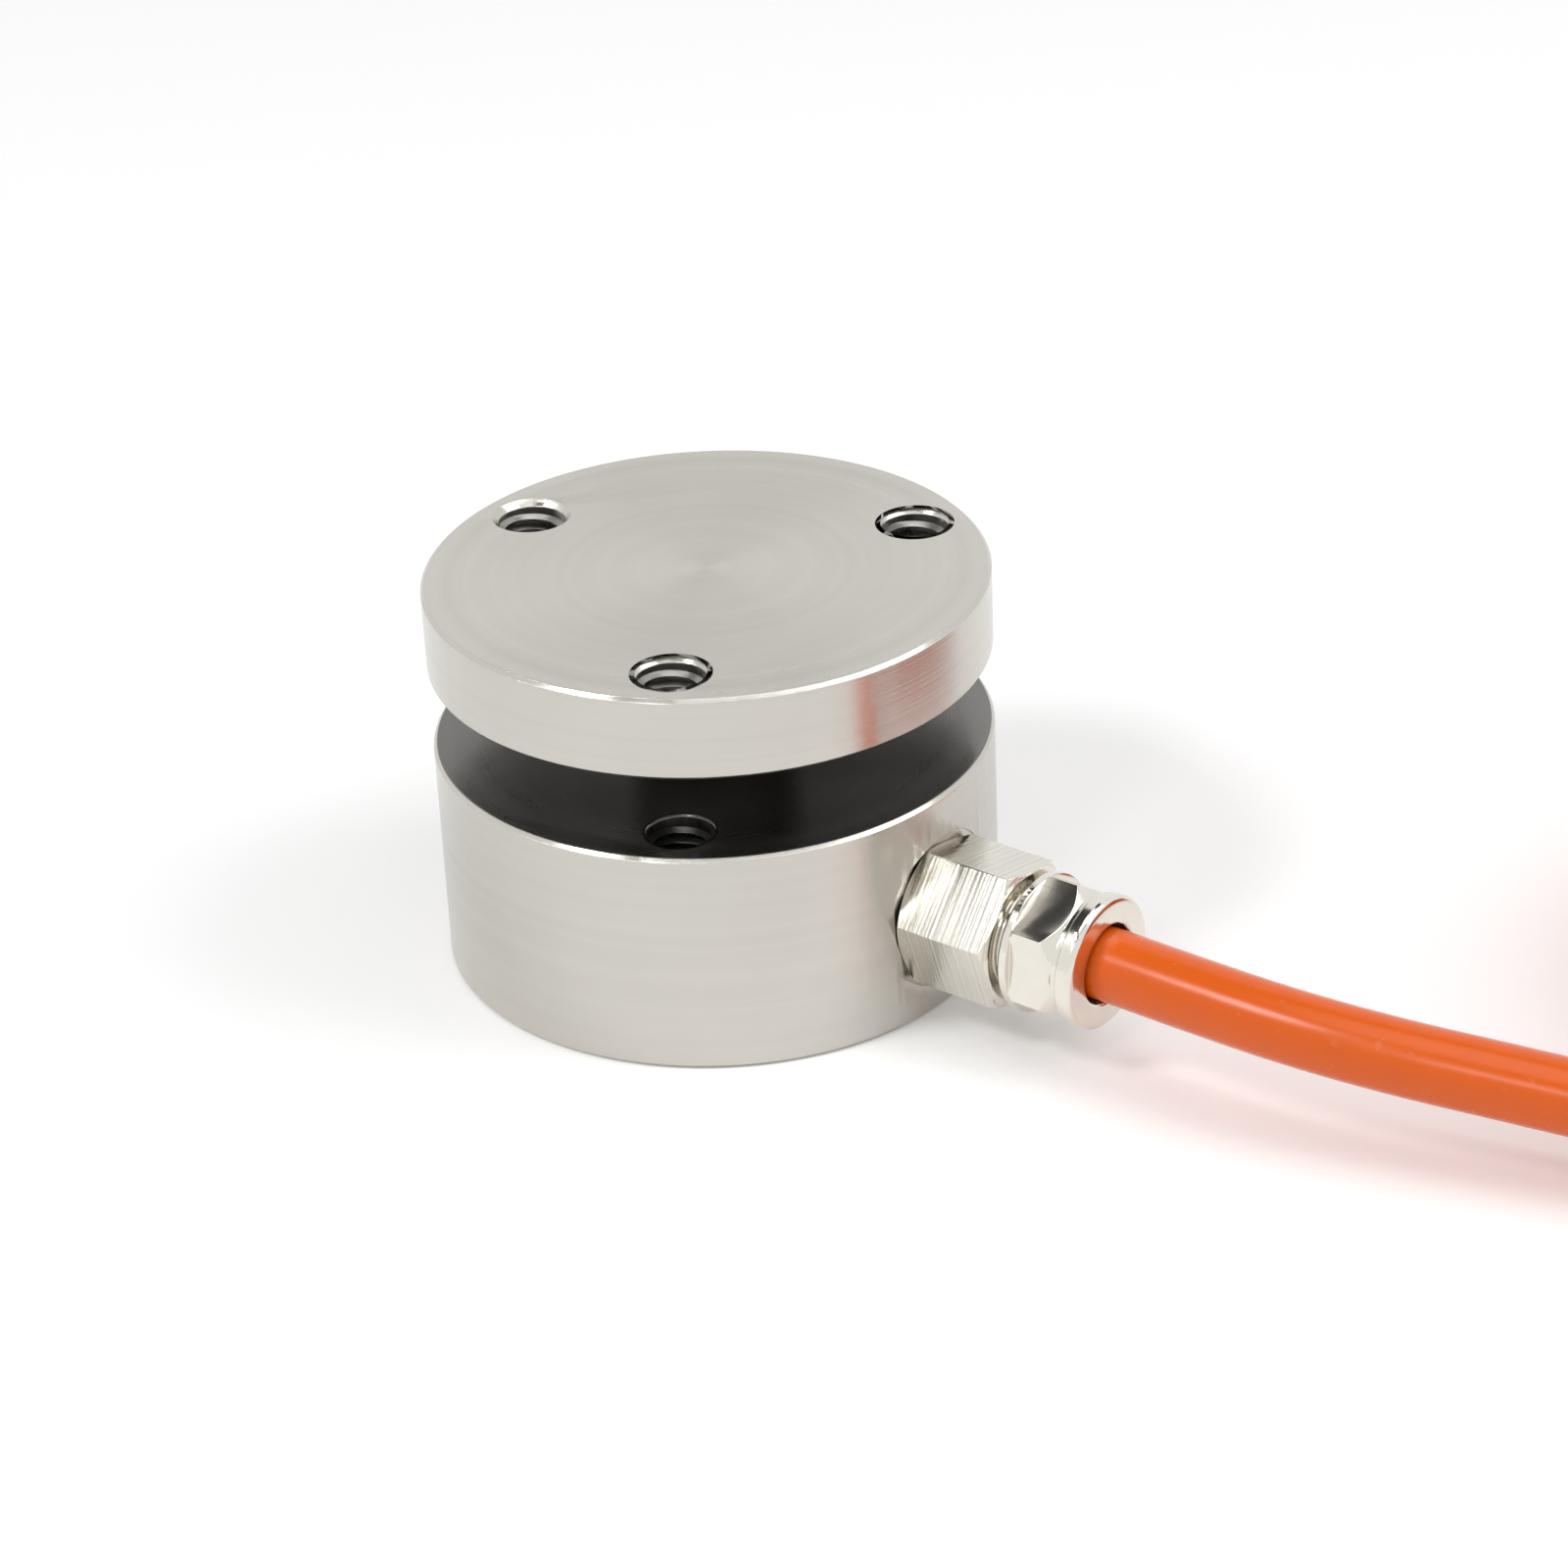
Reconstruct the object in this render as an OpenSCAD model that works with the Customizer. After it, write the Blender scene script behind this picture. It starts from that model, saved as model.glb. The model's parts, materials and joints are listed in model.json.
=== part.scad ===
// Inline load cell: a turned spring element with a loading flange above and a mounting ring below,
// strain gauges on the membrane inside, and a cable led out through a clamping gland.
// Units are millimetres. The origin is on the axis at the bottom face, +Z is the load axis,
// and the cable leaves along +X.

/* [Spring element] */
// Thickness of the loading flange
flange_t = 7.6; // [6:0.2:12]
// Height of the mounting ring
body_h = 20.8; // [20:0.2:26]
// Free gap between flange and ring
gap_h = 7.6; // [5:0.2:12]
// Diameter of the neck that carries the flange
neck_d = 14; // [12:0.5:15]
// Fillet radius at both ends of the neck
neck_fillet = 1.5; // [0.5:0.1:3]
// Chamfer on the turned outer edges
edge_chamfer = 0.35; // [0.2:0.05:0.8]

/* [Mounting holes] */
// Nominal diameter of the thread in the holes
hole_d = 6; // [5:0.1:6.2]
// Wall between the cover's seat and the holes
hole_web = 0.5; // [0.4:0.1:1]
// Wall between the holes and the outer edge
hole_rim = 2; // [1.8:0.1:3]
// Diameter of the countersunk mouths in the flange
flange_mouth_d = 7.2; // [6.6:0.1:8]
// Diameter of the deburred mouths in the ring
ring_mouth_d = 6.5; // [6.3:0.1:7]

/* [Gauge chamber] */
// Diameter of the chamber
chamber_d = 25; // [24.5:0.1:26]
// Thickness of the membrane over the chamber
membrane_t = 4; // [3:0.1:4.2]
// Fillet between the membrane and the chamber wall
chamber_fillet = 0.5; // [0.2:0.05:0.6]

/* [Bottom cover] */
// Width of the ledge that the cover is screwed to
ledge_w = 4; // [3.9:0.1:4.4]
// Thickness of the cover
cover_t = 1.6; // [1.4:0.1:2]
// How far the cover lies inside the bottom face
cover_inset = 0.3; // [0.1:0.1:0.6]
// Thickness of the gasket on the cover
gasket_t = 0.4; // [0.2:0.1:0.8]
// Thread diameter of the cover screws
cover_screw_d = 2; // [1.6:0.1:2.2]
// Head diameter of the cover screws
cover_screw_head_d = 3.8; // [3:0.1:3.9]
// Length of the cover screws
cover_screw_l = 6; // [5:0.5:8]

/* [Strain gauges] */
// Free width between the inner and the outer gauges
gauge_spacing = 0.7; // [0.4:0.1:1]
// Thickness of a foil gauge
gauge_t = 0.1; // [0.06:0.02:0.2]
// Diameter of a gauge lead
gauge_lead_d = 0.3; // [0.2:0.05:0.4]

/* [Terminal board] */
// Thickness of the board
board_t = 1.2; // [0.8:0.1:1.6]
// Free width between board and chamber wall
board_clearance = 1.2; // [0.8:0.1:2]
// Length of the spacer above the board
spacer_l = 3.2; // [2.8:0.1:3.6]
// Outer diameter of the spacer
spacer_d = 6; // [5:0.1:8]
// Thread diameter of the board screw
board_screw_d = 3; // [2.5:0.1:3.5]
// Head diameter of the board screw
board_screw_head_d = 5.4; // [4.6:0.1:6.4]
// Height of the board screw's head
board_screw_head_h = 1.6; // [1.2:0.1:2]
// Length of the board screw in the hub
board_screw_hold = 4; // [3:0.5:6]
// Diameter of a solder joint
joint_d = 1.6; // [1.4:0.1:2]
// Height of a solder joint
joint_h = 0.6; // [0.4:0.05:0.7]

/* [Gland body] */
// Height of the gland's axis over the bottom face
gland_z = 9.6; // [9.2:0.1:9.8]
// Width across flats of the body's hexagon
gland_flats = 12; // [11.6:0.1:12.6]
// Length of the body's hexagon
gland_l = 9.6; // [8:0.1:12]
// Depth of the spot face in the ring
seat_depth = 0.8; // [0.7:0.05:1.2]
// Nominal thread diameter of the spigot
spigot_d = 10; // [9.5:0.1:10.2]
// Length of the spigot in the ring
spigot_l = 9; // [6:0.5:10]
// Thread diameter under the nut
nut_thread_d = 9.4; // [9.1:0.1:9.8]

/* [Gland nut] */
// Width across flats of the nut's hexagon
nut_flats = 11.2; // [10.8:0.1:11.8]
// Visible gap between body and nut
nut_gap = 0.9; // [0.5:0.1:1.5]
// Thickness of the collar at the back of the nut
nut_collar_t = 1; // [0.6:0.1:1.6]
// Diameter of that collar
nut_collar_d = 12.5; // [11.9:0.1:12.8]
// Length of the nut's hexagon
nut_hexagon_l = 4.2; // [3.6:0.1:6]
// Width of the groove in front of the hexagon
nut_groove_l = 0.6; // [0.4:0.1:1]
// Diameter in the groove
nut_groove_d = 11; // [10.6:0.1:11.4]
// Thickness of the rounded rim at the mouth
nut_rim_t = 1.7; // [1.4:0.1:2.4]
// Diameter of that rim
nut_rim_d = 12.1; // [11.6:0.1:12.6]
// Diameter of the mouth for the cable
nut_mouth_d = 7.1; // [6.8:0.1:7.6]

/* [Cable clamp] */
// Outer diameter of the rubber bush
bush_d = 8; // [7.6:0.1:8.4]
// Thickness of the clamping washer
washer_t = 1.1; // [0.8:0.1:1.6]
// Depth of the bush inside the hexagon of the body
bush_depth = 1.5; // [0.5:0.1:3]
// Thickness of the ring seal under the body
seal_t = 0.9; // [0.6:0.1:1.2]
// Width of the ring seal
seal_w = 0.9; // [0.7:0.05:1]

/* [Cable] */
// Outer diameter of the cable
cable_d = 6.4; // [6:0.1:6.4]
// Diameter of an insulated core
core_d = 1.2; // [1:0.05:1.4]
// Length of the shrink sleeve on the jacket
sleeve_l = 18; // [12:1:24]
// Wall of the shrink sleeve
sleeve_wall = 0.5; // [0.3:0.05:0.5]
// Length of a stripped lead
lead_l = 40; // [30:1:60]
// Length of a lead's tinned tip
tip_l = 6; // [4:0.5:10]
// Thickness of a coil strap
tie_t = 0.8; // [0.4:0.1:0.8]
// Width of a coil strap
tie_w = 8; // [5:0.5:12]

/* [Hidden] */

// Outward reach of a cutter past the face that it opens
over = 1;
round_fn = 96;
small_fn = 32;

// Radii of the spring element from the chamber outwards, with the flange as wide as the ring
chamber_r = chamber_d / 2;
cover_r = chamber_r + ledge_w;
hole_r = hole_d / 2;
hole_circle_r = cover_r + hole_web + hole_r;
body_r = hole_circle_r + hole_r + hole_rim;
flange_r = body_r;
neck_r = neck_d / 2;

// Heights of the spring element
flange_z = body_h + gap_h;
total_h = flange_z + flange_t;
chamber_top = body_h - membrane_t;
gasket_z = cover_inset + cover_t;
ledge_z = gasket_z + gasket_t;

// The holes stand clear of the cable: one opposite to it and one on each side
hole_count = 3;
first_hole_angle = 60;

// Cover screws on the middle of the ledge, with a pilot hole that runs a little deeper
cover_screw_count = 4;
first_screw_angle = 45;
cover_screw_r = cover_screw_d / 2;
cover_screw_circle_r = (chamber_r + cover_r) / 2;
cover_screw_top = cover_inset + cover_screw_l;
cover_screw_head_h = (cover_screw_head_d - cover_screw_d) / 2;
screw_clearance = 0.1;
drill_allowance = 0.7;

// Width and depth of the screws' sockets as shares of their heads
socket_share = 0.45;
cover_socket_depth = cover_screw_head_h * 0.8;
board_socket_depth = board_screw_head_h * 0.6;

// The square gauges fill the membrane between the neck and the chamber wall
gauge_count = 4;
first_gauge_angle = 0;
gauge_margin = 0.15;
gauge_side = (chamber_r - chamber_fillet - neck_r - 2 * gauge_margin - gauge_spacing) / 2;
inner_gauge_r = neck_r + gauge_margin + gauge_side / 2;
outer_gauge_r = chamber_r - chamber_fillet - gauge_margin - gauge_side / 2;
gauge_lead_spacing = gauge_side / 2;

// Levels of the board and what hangs from it
board_r = chamber_r - board_clearance;
board_top = chamber_top - spacer_l;
board_z = board_top - board_t;
joint_inset = 2.8;
joint_circle_r = board_r - joint_inset;
joint_angles = [-48, -16, 16, 48];
resistor_size = [1.25, 2, 0.5];
resistor_inset = 3.3;
resistor_circle_r = board_r - resistor_inset;
resistor_angles = [120, 150, 210, 240];

// Stations of the gland along its axis
gland_seat_x = body_r - seat_depth;
gland_front_x = gland_seat_x + gland_l;
nut_x = gland_front_x + nut_gap;
nut_l = nut_collar_t + nut_hexagon_l + nut_groove_l + nut_rim_t;
nut_shoulder_t = nut_rim_t + 0.2;
nut_shoulder_x = nut_x + nut_l - nut_shoulder_t;
washer_x = nut_shoulder_x - washer_t;
bush_x = gland_front_x - bush_depth;
thread_end_x = washer_x + washer_t / 2;
gland_turn = -11;
nut_turn = 26;
spot_clearance = 0.2;
hexagon_face_d = gland_flats - 0.2;
hexagon_chamfer_angle = 30;
nut_chamfer_angle = 50;
nut_edge = 0.3;
rim_edge = 0.7;
mouth_edge = 0.35;
cable_r = cable_d / 2;
gland_bore_r = 3.5;

// The jacket ends a little inside the spigot, and its cores fan out to their joints
jacket_reach = 2;
jacket_end_x = gland_seat_x - spigot_l - jacket_reach;
core_pitch = core_d * 1.05;
core_straight = 1;
core_bend = 2.2;
core_bend_share = 0.3;
core_turn = [1.6, 0.85];
core_foot = 0.6;
core_rise = 0.4;
core_end = 0.8;

// The cable from its end in the gland to where it meets the coil
cable_sides = 12;
run_points = [
    [jacket_end_x, 0, gland_z],
    [28, 0, gland_z],
    [42, 0, 9.6],
    [51, 0, 9.5],
    [60, 0.4, 9.3],
    [69, 1.8, 8.9],
    [78, 4, 8.4],
    [91, 7.5, 7.5],
    [102.5, 10.8, 6.5],
];

// The coil lies on its straps, with three turns side by side in each of three layers
coil_centre = [112.5, 59.1];
coil_turns = 3;
coil_layers = 3;
coil_middle_r = 36;
coil_w = coil_turns * cable_d;
coil_h = coil_layers * cable_d;
coil_inner_r = coil_middle_r - coil_w / 2;
coil_top = tie_t + coil_h;
strap_angles = [0, 150];

// The cable's end lies on the coil and its straps: it moves out from the inner turn to the middle one,
// and ends in a straight piece with the sleeve, which cuts off a little of the circle
tail_z = coil_top + tie_t + cable_r;
tail_start_angle = 109;
tail_step_end = 217;
sleeve_angle = 235;
tail_steps = 10;
sleeve_gap = 2;
sleeve_close = 4;
sleeve_half_angle = asin((sleeve_gap + sleeve_l + sleeve_close) / 2 / coil_middle_r);
sleeve_heading = sleeve_angle + sleeve_half_angle + 90;
sleeve_end_r = 2.6;
lead_sides = 8;
lead_steps = 10;
lead_low = 0.7;
lead_fan_start = 0.3;
lead_settle_rate = 1.4;
lead_stack_share = 0.2;
tip_share = 0.6;

// Turns a shape drawn upright so that it stands along +X on the gland's axis, its base at x
module on_gland_axis(x) {
    translate([x, 0, gland_z]) rotate([90, 0, 90]) children();
}

module around(count, first_angle) {
    for (i = [0 : count - 1]) rotate(first_angle + i * 360 / count) children();
}

// Quarter arc from angle a to b about a centre, as profile points
function arc(centre, r, a, b, steps = 8) =
    [for (i = [0 : steps]) centre + r * [cos(a + (b - a) * i / steps), sin(a + (b - a) * i / steps)]];

// A ring of points of radius r about p, square to direction t, with side as the reference across it
function ring_points(p, t, side, r, sides) =
    let (
        along = t / norm(t),
        across_raw = cross(along, side),
        across = across_raw / norm(across_raw),
        upward = cross(across, along)
    )
    [for (k = [0 : sides - 1]) p + r * (cos(360 * k / sides) * across + sin(360 * k / sides) * upward)];

function polar(r, a) = r * [cos(a), sin(a)];

function smooth(share) = let (s = max(0, min(1, share))) s * s * (3 - 2 * s);

function tangent(points, i) = points[min(i + 1, len(points) - 1)] - points[max(i - 1, 0)];

// A tube of radius r swept along the points
module sweep(points, r, sides, side = [0, 0, 1]) {
    rings = len(points);
    vertices = [for (i = [0 : rings - 1]) each ring_points(points[i], tangent(points, i), side, r, sides)];
    walls = [
        for (i = [0 : rings - 2], k = [0 : sides - 1])
            let (a = i * sides + k, b = i * sides + (k + 1) % sides)
                each [[a, b, b + sides], [a, b + sides, a + sides]]
    ];
    first = [for (k = [sides - 1 : -1 : 0]) k];
    last = [for (k = [0 : sides - 1]) (rings - 1) * sides + k];
    polyhedron(points = vertices, faces = concat(walls, [first, last]), convexity = 6);
}

// A hexagon bar with its corners turned off at both ends
module chamfered_hexagon(flats, length, face_d) {
    corner_r = flats / sqrt(3);
    face_r = face_d / 2;
    fall = (corner_r - face_r) * tan(hexagon_chamfer_angle);
    intersection() {
        cylinder(h = length, r = corner_r, $fn = 6);
        rotate_extrude($fn = round_fn) polygon([
            [0, 0],
            [face_r, 0],
            [corner_r, fall],
            [corner_r, length - fall],
            [face_r, length],
            [0, length],
        ]);
    }
}

module element_section() {
    c = edge_chamfer;
    f = neck_fillet;
    polygon(concat(
        [[0, chamber_top]],
        arc([chamber_r - chamber_fillet, chamber_top - chamber_fillet], chamber_fillet, 90, 0, 4),
        [[chamber_r, ledge_z], [cover_r, ledge_z], [cover_r, 0]],
        [[body_r - c, 0], [body_r, c], [body_r, body_h - c], [body_r - c, body_h]],
        arc([neck_r + f, body_h + f], f, 270, 180),
        arc([neck_r + f, flange_z - f], f, 180, 90),
        [[flange_r - c, flange_z], [flange_r, flange_z + c]],
        [[flange_r, total_h - c], [flange_r - c, total_h], [0, total_h]]
    ));
}

// A through hole with a conical mouth at its top
module mouthed_hole(bottom, top, mouth_d) {
    depth = (mouth_d - hole_d) / 2;
    hole_fn = small_fn * 2;
    translate([0, 0, bottom - over]) cylinder(h = top - bottom + 2 * over, r = hole_r, $fn = hole_fn);
    translate([0, 0, top - depth]) cylinder(h = depth, r1 = hole_r, r2 = mouth_d / 2, $fn = hole_fn);
}

module gland_hole() {
    spigot_r = spigot_d / 2;
    spot_r = gland_flats / sqrt(3) + spot_clearance;
    on_gland_axis(chamber_r - 2 * over)
        cylinder(h = body_r - chamber_r + 2 * over, r = spigot_r, $fn = round_fn);
    on_gland_axis(gland_seat_x) cylinder(h = seat_depth + over, r = spot_r, $fn = round_fn);
    on_gland_axis(gland_seat_x - seal_t) cylinder(h = seal_t + over, r = spigot_r + seal_w, $fn = round_fn);
}

module cover_screw_pilot() {
    translate([cover_screw_circle_r, 0, ledge_z - over])
        cylinder(h = cover_screw_top + drill_allowance - ledge_z + over, r = cover_screw_r, $fn = small_fn);
}

module spring_element() {
    color("#c6c3bd") difference() {
        rotate_extrude($fn = round_fn) element_section();
        around(hole_count, first_hole_angle) translate([hole_circle_r, 0, 0]) {
            mouthed_hole(flange_z, total_h, flange_mouth_d);
            mouthed_hole(0, body_h, ring_mouth_d);
        }
        around(cover_screw_count, first_screw_angle) cover_screw_pilot();
        translate([0, 0, chamber_top - over])
            cylinder(h = board_screw_hold + drill_allowance + over, d = board_screw_d, $fn = small_fn);
        gland_hole();
    }
}

// A hole for one cover screw, through cover or gasket
module screw_clearance_hole() {
    translate([cover_screw_circle_r, 0, -over])
        cylinder(h = ledge_z + 2 * over, r = cover_screw_r + screw_clearance, $fn = small_fn);
}

module bottom_cover() {
    color("#bdbab4") difference() {
        translate([0, 0, cover_inset]) cylinder(h = cover_t, r = cover_r, $fn = round_fn);
        around(cover_screw_count, first_screw_angle) {
            screw_clearance_hole();
            translate([cover_screw_circle_r, 0, cover_inset]) cylinder(
                h = cover_screw_head_h,
                r1 = cover_screw_head_d / 2,
                r2 = cover_screw_r,
                $fn = small_fn
            );
        }
    }
}

module cover_gasket() {
    color("#2b2b2d") translate([0, 0, gasket_z]) difference() {
        cylinder(h = gasket_t, r = cover_r, $fn = round_fn);
        translate([0, 0, -over]) cylinder(h = gasket_t + 2 * over, r = chamber_r, $fn = round_fn);
        translate([0, 0, -gasket_z])
            around(cover_screw_count, first_screw_angle) screw_clearance_hole();
    }
}

// Countersunk screw with a hexagon socket, its head level with the cover
module cover_screw() {
    difference() {
        rotate_extrude($fn = small_fn) polygon([
            [0, 0],
            [cover_screw_head_d / 2, 0],
            [cover_screw_r, cover_screw_head_h],
            [cover_screw_r, cover_screw_l],
            [0, cover_screw_l],
        ]);
        translate([0, 0, -over])
            cylinder(h = over + cover_socket_depth, r = cover_screw_head_d / 2 * socket_share, $fn = 6);
    }
}

module cover_screws() {
    color("#8f8f92") around(cover_screw_count, first_screw_angle)
        translate([cover_screw_circle_r, 0, cover_inset]) cover_screw();
}

module gauge_row(r) {
    around(gauge_count, first_gauge_angle)
        translate([r - gauge_side / 2, -gauge_side / 2, chamber_top - gauge_t])
            cube([gauge_side, gauge_side, gauge_t]);
}

module inner_gauges() {
    color("#c98f3c") gauge_row(inner_gauge_r);
}

module outer_gauges() {
    color("#c98f3c") gauge_row(outer_gauge_r);
}

module gauge_leads() {
    color("#b4693a") around(gauge_count, first_gauge_angle)
        for (r = [inner_gauge_r, outer_gauge_r], s = [-1, 1])
            translate([r, s * gauge_lead_spacing / 2, board_top])
                cylinder(h = spacer_l - gauge_t, d = gauge_lead_d, $fn = small_fn / 2);
}

module terminal_board() {
    color("#2f6b45") translate([0, 0, board_z]) difference() {
        cylinder(h = board_t, r = board_r, $fn = round_fn);
        translate([0, 0, -over]) cylinder(h = board_t + 2 * over, d = board_screw_d, $fn = small_fn);
    }
}

module board_spacer() {
    color("#c9b06a") translate([0, 0, board_top]) difference() {
        cylinder(h = spacer_l, d = spacer_d, $fn = round_fn);
        translate([0, 0, -over]) cylinder(h = spacer_l + 2 * over, d = board_screw_d, $fn = small_fn);
    }
}

module board_screw() {
    shank_l = board_t + spacer_l + board_screw_hold;
    color("#8f8f92") translate([0, 0, board_z - board_screw_head_h]) difference() {
        union() {
            cylinder(h = board_screw_head_h, d = board_screw_head_d, $fn = small_fn * 2);
            cylinder(h = board_screw_head_h + shank_l, d = board_screw_d, $fn = small_fn);
        }
        translate([0, 0, -over])
            cylinder(h = over + board_socket_depth, r = board_screw_head_d / 2 * socket_share, $fn = 6);
    }
}

module bridge_resistors() {
    color("#26282c") for (a = resistor_angles) rotate(a)
        translate([resistor_circle_r, 0, board_z - resistor_size.z / 2]) cube(resistor_size, center = true);
}

module core_joints() {
    color("#b9bcc0") for (a = joint_angles) rotate(a)
        translate([joint_circle_r, 0, board_z - joint_h])
            cylinder(h = joint_h, d = joint_d, $fn = small_fn);
}

// A core leaves the jacket's end face, runs inwards and turns up into its solder joint
module core(i) {
    a = joint_angles[i];
    joint = [joint_circle_r * cos(a), joint_circle_r * sin(a), board_z - joint_h];
    y = (i - (len(joint_angles) - 1) / 2) * core_pitch;
    low = gland_z - core_d / 2;
    sweep([
        [jacket_end_x, y, low],
        [jacket_end_x - core_straight, y, low],
        [jacket_end_x - core_bend, y + (joint.y - y) * core_bend_share, low],
        [joint.x + core_turn[0], joint.y * core_turn[1], low],
        [joint.x + core_foot, joint.y, low + core_rise],
        [joint.x, joint.y, joint.z - core_end],
        joint,
    ], core_d / 2, lead_sides, [0, 1, 0]);
}

module core_red() {
    color("#b8261e") core(0);
}

module core_black() {
    color("#1d1d1f") core(1);
}

module core_green() {
    color("#2c7a3c") core(2);
}

module core_white() {
    color("#e8e6df") core(3);
}

module gland_body() {
    color("#d2cec2") difference() {
        union() {
            on_gland_axis(gland_seat_x) rotate(gland_turn)
                chamfered_hexagon(gland_flats, gland_l, hexagon_face_d);
            on_gland_axis(gland_seat_x - spigot_l)
                cylinder(h = spigot_l + over, d = spigot_d, $fn = round_fn);
            on_gland_axis(gland_front_x - over)
                cylinder(h = thread_end_x - gland_front_x + over, d = nut_thread_d, $fn = round_fn);
        }
        on_gland_axis(gland_seat_x - spigot_l - over)
            cylinder(h = bush_x - gland_seat_x + spigot_l + 2 * over, r = gland_bore_r, $fn = round_fn);
        on_gland_axis(bush_x) cylinder(h = thread_end_x - bush_x + over, d = bush_d, $fn = round_fn);
    }
}

module gland_seal() {
    color("#232325") on_gland_axis(gland_seat_x - seal_t) difference() {
        cylinder(h = seal_t, r = spigot_d / 2 + seal_w, $fn = round_fn);
        translate([0, 0, -over]) cylinder(h = seal_t + 2 * over, d = spigot_d, $fn = round_fn);
    }
}

module clamp_bush() {
    color("#2a2a2c") on_gland_axis(bush_x) difference() {
        cylinder(h = washer_x - bush_x, d = bush_d, $fn = round_fn);
        translate([0, 0, -over]) cylinder(h = washer_x - bush_x + 2 * over, r = cable_r, $fn = round_fn);
    }
}

module clamp_washer() {
    color("#d9d4c6") on_gland_axis(washer_x) difference() {
        cylinder(h = washer_t, d = bush_d, $fn = round_fn);
        translate([0, 0, -over]) cylinder(h = washer_t + 2 * over, r = gland_bore_r, $fn = round_fn);
    }
}

// Outline of the nut before its flats are milled: collar, corners of the hexagon, groove and rounded rim
module nut_section() {
    corner_r = nut_flats / sqrt(3);
    groove_r = nut_groove_d / 2;
    groove_back = nut_collar_t + nut_hexagon_l;
    rim_back = groove_back + nut_groove_l;
    collar_r = nut_collar_d / 2;
    rim_r = nut_rim_d / 2;
    mouth_r = nut_mouth_d / 2;
    fall = (corner_r - groove_r) * tan(nut_chamfer_angle);
    polygon(concat(
        [[nut_thread_d / 2, 0], [collar_r - nut_edge, 0], [collar_r, nut_edge], [collar_r, nut_collar_t]],
        [[corner_r, nut_collar_t + (corner_r - collar_r)], [corner_r, groove_back - fall]],
        [[groove_r, groove_back], [groove_r, rim_back]],
        [[rim_r - nut_edge / 2, rim_back], [rim_r, rim_back + nut_edge / 2]],
        arc([rim_r - rim_edge, nut_l - rim_edge], rim_edge, 0, 90, 6),
        arc([mouth_r + mouth_edge, nut_l - mouth_edge], mouth_edge, 90, 180, 6),
        [[mouth_r, nut_shoulder_x - nut_x], [nut_thread_d / 2, nut_shoulder_x - nut_x]]
    ));
}

// The flats run out at the collar, and forward into the groove
module gland_nut() {
    color("#cdc9be") on_gland_axis(nut_x) difference() {
        rotate_extrude($fn = round_fn) nut_section();
        translate([0, 0, nut_collar_t]) rotate(nut_turn) difference() {
            cylinder(h = nut_hexagon_l + nut_groove_l / 2, r = nut_flats, $fn = round_fn);
            translate([0, 0, -over])
                cylinder(h = nut_hexagon_l + nut_groove_l + 2 * over, r = nut_flats / sqrt(3), $fn = 6);
        }
    }
}

module cable_run() {
    color("#e2682a") sweep(run_points, cable_r, cable_sides);
}

// Section of the coil, its outer turns as rounded corners
module coil_outline(extra = 0) {
    r = cable_r + extra;
    low = [coil_inner_r + cable_r, tie_t + cable_r];
    high = low + [coil_w - cable_d, coil_h - cable_d];
    polygon(concat(
        arc(low, r, 180, 270, 4),
        arc([high.x, low.y], r, 270, 360, 4),
        arc(high, r, 0, 90, 4),
        arc([low.x, high.y], r, 90, 180, 4)
    ));
}

module cable_coil() {
    color("#e2682a") translate([coil_centre.x, coil_centre.y, 0])
        rotate_extrude($fn = round_fn) coil_outline();
}

// Each strap follows the coil's section, and bends with it over its own width
module coil_ties() {
    strap_angle = tie_w / coil_middle_r * 180 / PI;
    color("#303236") translate([coil_centre.x, coil_centre.y, 0])
        for (a = strap_angles) rotate(a - strap_angle / 2)
            rotate_extrude(angle = strap_angle, $fn = round_fn) difference() {
                coil_outline(tie_t);
                coil_outline();
            }
}

function tail_radius(a) =
    coil_inner_r + cable_r + (coil_turns - 1) / 2 * cable_d
        * smooth((a - tail_start_angle) / (tail_step_end - tail_start_angle));

function tail_point(a) = let (p = coil_centre + polar(tail_radius(a), a)) [p.x, p.y, tail_z];

// Place on the straight end of the cable, at a distance from where the circle is left
function end_point(distance) =
    let (p = coil_centre + polar(coil_middle_r, sleeve_angle) + polar(distance, sleeve_heading))
    [p.x, p.y, tail_z];

module cable_tail() {
    turned = sleeve_angle - tail_start_angle;
    color("#e2682a") sweep(concat(
        [for (i = [0 : tail_steps]) tail_point(tail_start_angle + turned * i / tail_steps)],
        [end_point(sleeve_gap), end_point(sleeve_gap + sleeve_l)]
    ), cable_r, cable_sides);
}

module end_sleeve() {
    outer_r = cable_r + sleeve_wall;
    color("#1f1f21") translate(end_point(sleeve_gap)) rotate([0, 90, sleeve_heading])
        rotate_extrude($fn = round_fn) polygon([
            [cable_r, 0],
            [outer_r, 0],
            [outer_r, sleeve_l],
            [sleeve_end_r, sleeve_l + sleeve_close],
            [0, sleeve_l + sleeve_close],
            [0, sleeve_l],
            [cable_r, sleeve_l],
        ]);
}

// Place of a lead along its length: it leaves the sleeve at an offset, bends back along the turns, fans out
// and comes to lie on the coil, the upper leads last
function lead_point(across, above, fan, share) =
    let (
        a = sleeve_angle + 2 * sleeve_half_angle + lead_l * share / coil_middle_r * 180 / PI,
        aside = a - sleeve_half_angle * pow(1 - share, 2),
        bow = lead_l * tan(sleeve_half_angle) * share * pow(1 - share, 2),
        spread = share * (lead_fan_start + (1 - lead_fan_start) * share),
        place = coil_centre + polar(coil_middle_r + bow, a) + polar(across + fan * spread, aside),
        rest_z = coil_top + core_d / 2,
        fall = (tail_z - lead_low - rest_z) * (1 - smooth(share * lead_settle_rate)),
        stack = above * (1 - smooth((share - lead_stack_share) / (1 - lead_stack_share)))
    )
    [place.x, place.y, rest_z + fall + stack];

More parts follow.
